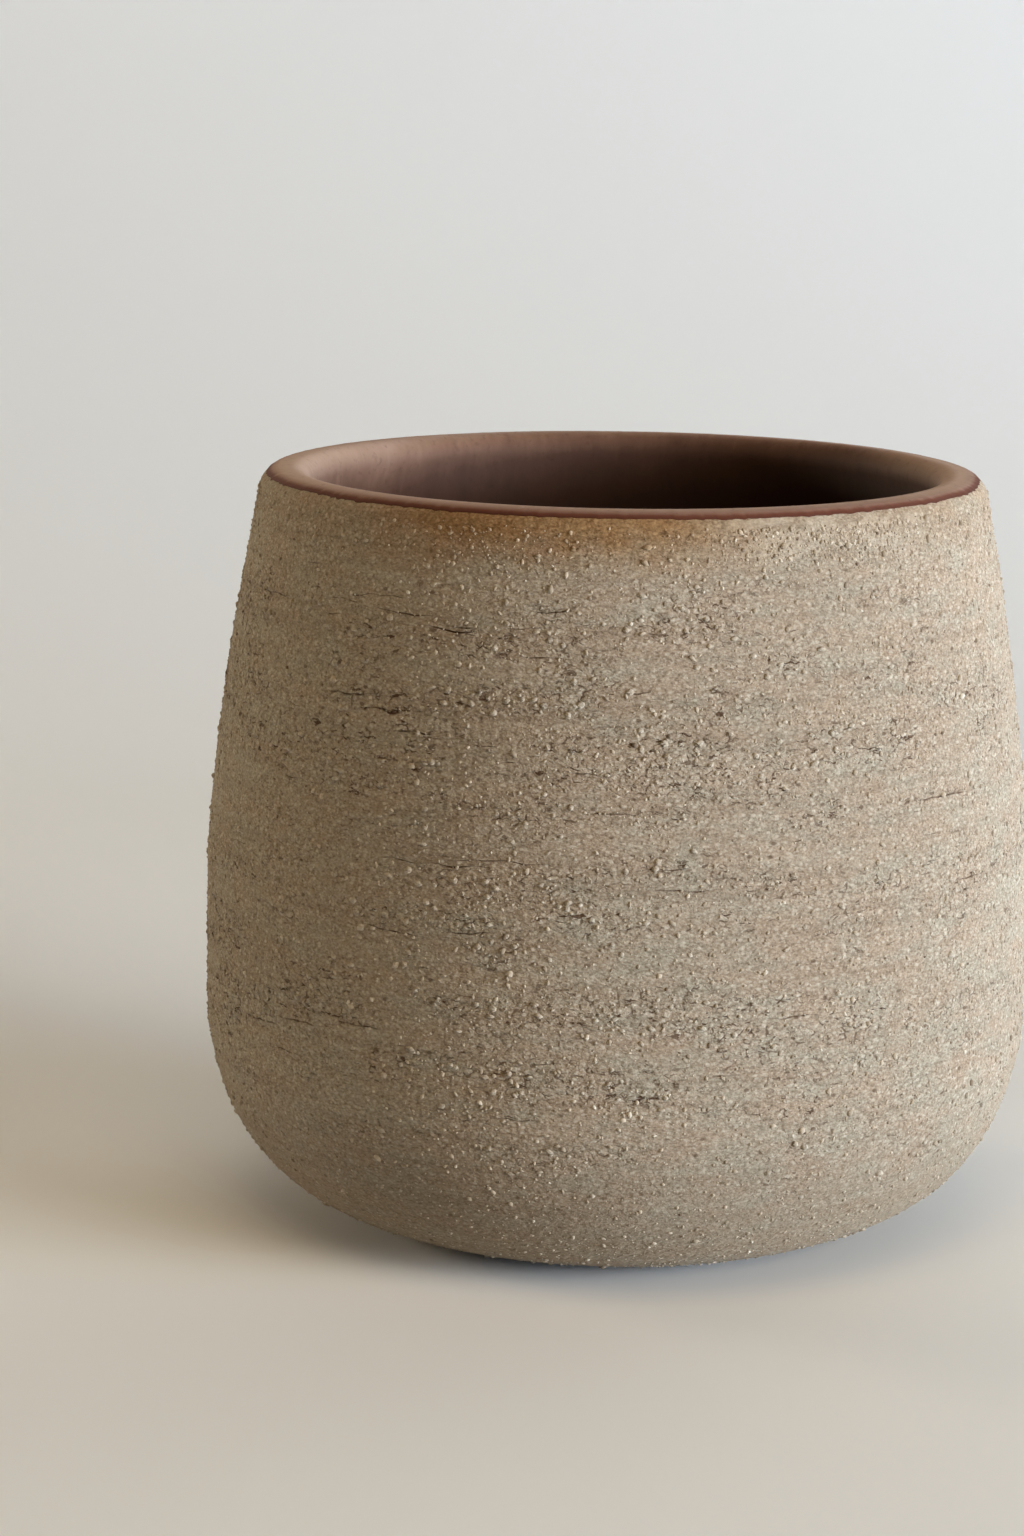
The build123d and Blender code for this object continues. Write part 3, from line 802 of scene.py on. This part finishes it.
def wrapMap(mesh, path):  # cylinder map for the kept colours: round the cup, and along the section
    fine = denser(path, colourMap["stepMm"])[0]
    tree = kdtree.KDTree(len(fine))
    for i, (x, z) in enumerate(fine):
        tree.insert((x, 0, z), i)
    tree.balance()
    co = np.empty(len(mesh.vertices) * 3)
    mesh.vertices.foreach_get("co", co)
    co = co.reshape(-1, 3) / mm
    alongAt = np.array([tree.find((math.hypot(x, y), 0, z))[1] for x, y, z in co]) / len(fine)
    roundAt = np.arctan2(co[:, 1], co[:, 0]) / (2 * math.pi) % 1.0
    corners = np.empty(len(mesh.loops), int)
    mesh.loops.foreach_get("vertex_index", corners)
    starts = np.empty(len(mesh.polygons), int)
    mesh.polygons.foreach_get("loop_start", starts)
    u, v = roundAt[corners], alongAt[corners]
    spread = np.maximum.reduceat(u, starts) - np.minimum.reduceat(u, starts)
    counts = np.diff(np.append(starts, len(u)))
    u = np.where((np.repeat(spread, counts) > 0.5) & (u < 0.5), u + 1, u) / colourMap["room"]
    layer = mesh.uv_layers.get("OFBake") or mesh.uv_layers.new(name="OFBake")
    layer.data.foreach_set("uv", np.stack([u, v], 1).astype(np.float32).ravel())


wrapMap(tornWall, section)
tornWall.shade_smooth()
tornWall.set_sharp_from_angle(angle=math.radians(wall["sharpDegrees"]))
showPiece("clay_wall", tornWall, "grogged_stoneware", "stoneware_body")
wrapMap(crumbs, section)
crumbs.shade_smooth()
showPiece("clay_crumbs", crumbs, "grogged_stoneware")

# Grog grains half sunk in the skin, in three grades: how many to a square mm, and in mm their least and most
# half width, half height and half depth
grades = {
    "grog_fine": {
        "perMm2": 0.95, "least": (0.07, 0.06, 0.06), "most": (0.15, 0.11, 0.10), "seed": 21,
        "octahedra": True, "sunk": -0.1},
    "grog_medium": {
        "perMm2": 0.34, "least": (0.13, 0.11, 0.10), "most": (0.24, 0.18, 0.15), "seed": 22,
        "octahedra": False, "sunk": -0.4},
    "grog_coarse": {
        "perMm2": 0.04, "least": (0.2, 0.17, 0.14), "most": (0.34, 0.27, 0.20), "seed": 23,
        "octahedra": False, "sunk": -0.55},
}
grainTree = scatterGrog()
for label, grade in grades.items():
    made = plainMesh(label, bareWall, grainTree, {
        "Density": grade["perMm2"] / mm ** 2, "Seed": grade["seed"], "Shift": (0.0, 0.0, grade["sunk"]),
        "Least": [v * mm for v in grade["least"]], "Most": [v * mm for v in grade["most"]],
        "Octahedra": grade["octahedra"], "Cells": grog["cells"], "Grog": firedGrog,
    })
    made.shade_smooth()
    showPiece(label, made, "grogged_stoneware")

# Glaze: poured inside and wiped over the lip, so it has its own uneven edge just outside
coat = {
    "columns": 720, "thickness": 0.35, "edgeThickness": 0.02, "edgeSwell": 1.3, "edgeHeight": 75.3,      # mm
    "toothDepth": 0.17, "toothWidth": 0.8, "toothGain": 1.6, "fineTooth": 0.35,
    "waveDepth": 0.16, "waveWidth": 9.0, "pathStep": 0.05, "sink": 0.06,
    "ringDepth": 0.06, "ringPitch": 6.5, "ringLength": 26, "ringFrom": (9, 20),
    # rows from the edge inwards: from, to and how many; the last run goes on to the middle of the floor
    "rowsFront": [(0, 1.2, 13), (1.3, 8.5, 26), (9.4, None, 58)], "rowsBack": [(0, 8.5, 14), (11, None, 26)],
}

coatPath, coatAt = denser(np.vstack([outerRun[-4:], lipRun, innerRun]), coat["pathStep"])
heading = np.gradient(coatPath, axis=0)
heading /= np.linalg.norm(heading, axis=1)[:, None]
facing = np.stack([heading[:, 1], -heading[:, 0]], 1)
around = np.arange(coat["columns"]) * 2 * math.pi / coat["columns"]
lip = cup["lipRadius"]
rim = np.stack([np.cos(around) * lip, np.sin(around) * lip, np.zeros(len(around))], 1)
teeth = np.clip(noiseAt(rim, coat["toothWidth"], 1, 2.2), 0, 1) * coat["toothGain"]
teeth += coat["fineTooth"] * noiseAt(rim, coat["toothWidth"] * coat["fineTooth"], 1, 8.4)
waves = noiseAt(rim, coat["waveWidth"], 1, 5.5)
edgeMid = coatAt[np.argmax(coatPath[:, 1] > coat["edgeHeight"])]
edgeAt = edgeMid - coat["toothDepth"] * teeth + coat["waveDepth"] * waves
fullRun = coatAt[-1] - edgeMid
rowsFront, rowsBack = (
    np.concatenate([np.linspace(start, end or fullRun, count) for start, end, count in coat[label]])
    for label in ("rowsFront", "rowsBack"))


def coatRow(distance, thickness):  # one row of the coat, a given way in from the uneven edge
    share = distance / fullRun
    s = edgeAt + (coatAt[-1] - edgeAt) * share
    point = np.stack([np.interp(s, coatAt, coatPath[:, i]) for i in (0, 1)], 1)
    out = np.stack([np.interp(s, coatAt, facing[:, i]) for i in (0, 1)], 1)
    out /= np.linalg.norm(out, axis=1)[:, None]
    shifted = point + out * np.reshape(thickness, (-1, 1))
    return np.stack([shifted[:, 0] * np.cos(around), shifted[:, 0] * np.sin(around), shifted[:, 1]], 1)


coatVerts, coatFar = [], []
for distance in rowsFront[:-1]:
    grown = 1 - math.exp(-distance / coat["edgeSwell"])
    thick = coat["edgeThickness"] + (coat["thickness"] - coat["edgeThickness"]) * grown
    rough = coat["ringDepth"] * smoothStep(*coat["ringFrom"], distance)
    row = coatRow(distance, thick)
    rings = noiseAt(row, coat["ringLength"], coat["ringPitch"], 6.6) - 0.5
    row = coatRow(distance, thick + rough * rings)
    coatVerts.append(row)
    coatFar.append(np.full(len(row), distance))
coatVerts.append(np.array([[0, 0, cup["floor"] + coat["thickness"]]]))
coatFar.append(np.array([fullRun]))
frontRows = len(rowsFront) - 1
for distance in rowsBack[:-1]:
    coatVerts.append(coatRow(distance, -coat["sink"]))
    coatFar.append(np.full(coat["columns"], distance))
coatVerts.append(np.array([[0, 0, cup["floor"] - coat["sink"]]]))
coatFar.append(np.array([fullRun]))
n, frontPole = coat["columns"], frontRows * coat["columns"]
backStart, backRows = frontPole + 1, len(rowsBack) - 1
backPole = backStart + backRows * n
coatFaces = []
for j in range(n):
    k = (j + 1) % n
    for i in range(frontRows - 1):
        coatFaces.append((i * n + j, i * n + k, (i + 1) * n + k, (i + 1) * n + j))
    coatFaces.append(((frontRows - 1) * n + j, (frontRows - 1) * n + k, frontPole))
    for i in range(backRows - 1):
        a, b = backStart + i * n, backStart + (i + 1) * n
        coatFaces.append((a + k, a + j, b + j, b + k))
    last = backStart + (backRows - 1) * n
    coatFaces.append((last + k, last + j, backPole))
    coatFaces.append((backStart + j, backStart + k, k, j))
coatMesh = bpy.data.meshes.new("iron_glaze")
coatMesh.from_pydata((np.vstack(coatVerts) * mm).tolist(), [], coatFaces)
coatMesh.attributes.new("fromEdge", "FLOAT", "POINT").data.foreach_set(
    "value", (np.concatenate(coatFar) * mm).astype(np.float32))
coatMesh.materials.append(ironGlaze)
coatMesh.shade_smooth()
wrapMap(coatMesh, coatPath)
showPiece("iron_glaze", coatMesh, "iron_glaze", "liner_glaze")

# Stage: pale paper, flat under the cup and curving up behind it, in metres. The paper above the picture's
# top edge lights the cup but is not seen, so from behind it does not hide the cup
stage = {
    "paper": "#e8e8e4", "front": -2.4, "bend": 0.2, "bendRadius": 0.3, "top": 1.6, "half": 2.4,
    "bendSteps": 32, "shownSteps": 20, "fibresPerMm": 0.9,
}
turns = np.linspace(0, math.pi / 2, stage["bendSteps"] + 1)
sweep = [(stage["front"], 0.0)]
sweep += [(stage["bend"] + stage["bendRadius"] * math.sin(t), stage["bendRadius"] * (1 - math.cos(t)))
          for t in turns]
sweep.append((stage["bend"] + stage["bendRadius"], stage["top"]))
paper, add, place = newMaterial("matPaper")
fibres = add("ShaderNodeTexNoise", {"Scale": stage["fibresPerMm"], "Detail": 2.0}, {0: place})
paperBump = add("ShaderNodeBump", {"Strength": 0.05, "Distance": 0.1 * mm}, {"Height": fibres})
paperShader = add("ShaderNodeBsdfPrincipled", {
    "Base Color": linearOf(stage["paper"]), "Roughness": 0.9, "Specular IOR Level": 0.2},
    {"Normal": paperBump})
add("ShaderNodeOutputMaterial", links={0: paperShader})
shown = stage["shownSteps"] + 1
for label, rows, seen in (("paper_floor", sweep[:shown + 1], True), ("paper_wall", sweep[shown:], False)):
    paperMesh = bpy.data.meshes.new(label)
    paperMesh.from_pydata([(side * stage["half"], y, z) for y, z in rows for side in (-1, 1)], [],
                          [(2 * i, 2 * i + 1, 2 * i + 3, 2 * i + 2) for i in range(len(rows) - 1)])
    paperMesh.materials.append(paper)
    paperMesh.shade_smooth()
    sheet = bpy.data.objects.new(label, paperMesh)
    sheet.visible_camera = seen
    bpy.context.collection.objects.link(sheet)

# Light: a low window to the right in two panes with its bright top, a warm ceiling in front, and a pale room
# on the left; degrees round from the front and up, distance and size in metres
lamps = {
    "windowFar": {"round": 72, "up": 5, "far": 1.0, "size": (0.45, 0.3), "watts": 11.2, "colour": "#c6deff"},
    "windowNear": {"round": 60, "up": 5, "far": 1.0, "size": (0.45, 0.3), "watts": 6.9, "colour": "#e6f0ff"},
    "windowTop": {"round": 54, "up": 20, "far": 1.0, "size": (0.5, 0.4), "watts": 4.35, "colour": "#fff5e6"},
    "ceiling": {"round": 0, "up": 60, "far": 1.0, "size": (0.6, 0.6), "watts": 2.4, "colour": "#ffdfaa"},
    "leftGlow": {"round": -120, "up": 6, "far": 1.0, "size": (0.5, 0.3), "watts": 14.0, "colour": "#ffeed6"},
}
room = {"colour": "#ffeac4", "strength": 0.01, "aim": (0, 0, 0.035)}   # the lamps look at the cup's middle
for label, lamp in lamps.items():
    data = bpy.data.lights.new(label, "AREA")
    data.shape, data.size, data.size_y = "RECTANGLE", lamp["size"][0], lamp["size"][1]
    data.energy, data.color = lamp["watts"], linearOf(lamp["colour"])[:3]
    a, e = math.radians(lamp["round"]), math.radians(lamp["up"])
    towards = Vector((math.sin(a) * math.cos(e), -math.cos(a) * math.cos(e), math.sin(e)))
    light = bpy.data.objects.new(label, data)
    light.location = towards * lamp["far"] + Vector(room["aim"])
    light.rotation_euler = towards.to_track_quat("Z", "Y").to_euler()
    bpy.context.collection.objects.link(light)
world = bpy.data.worlds.new("warmRoom")
world.use_nodes = True
background = world.node_tree.nodes["Background"]
background.inputs["Color"].default_value = linearOf(room["colour"])
background.inputs["Strength"].default_value = room["strength"]
bpy.context.scene.world = world
bpy.context.scene.view_settings.view_transform = "Standard"

# Camera: a long lens a little above the rim, as the photograph's outline gives it
view = {
    "back": 426.6, "up": 125.5, "yaw": -0.0253, "pitch": 0.18633, "roll": 0.0122,   # mm, radians
    "lens": 100.0, "sensor": 36.0, "clip": (0.01, 20.0),                            # mm, metres
}
yaw, pitch = view["yaw"], view["pitch"]
ahead = Vector((math.sin(yaw) * math.cos(pitch), math.cos(yaw) * math.cos(pitch), -math.sin(pitch)))
right = ahead.cross(Vector((0, 0, 1))).normalized()
upward = right.cross(ahead)
c, s = math.cos(view["roll"]), math.sin(view["roll"])
right, upward = right * c + upward * s, upward * c - right * s
cameraData = bpy.data.cameras.new("camera")
cameraData.lens, cameraData.sensor_width = view["lens"], view["sensor"]
cameraData.clip_start, cameraData.clip_end = view["clip"]
camera = bpy.data.objects.new("camera", cameraData)
camera.matrix_world = Matrix((right, upward, -ahead)).transposed().to_4x4()
camera.location = (0, -view["back"] * mm, view["up"] * mm)
bpy.context.collection.objects.link(camera)
bpy.context.scene.camera = camera
print("stage, lights and camera set")
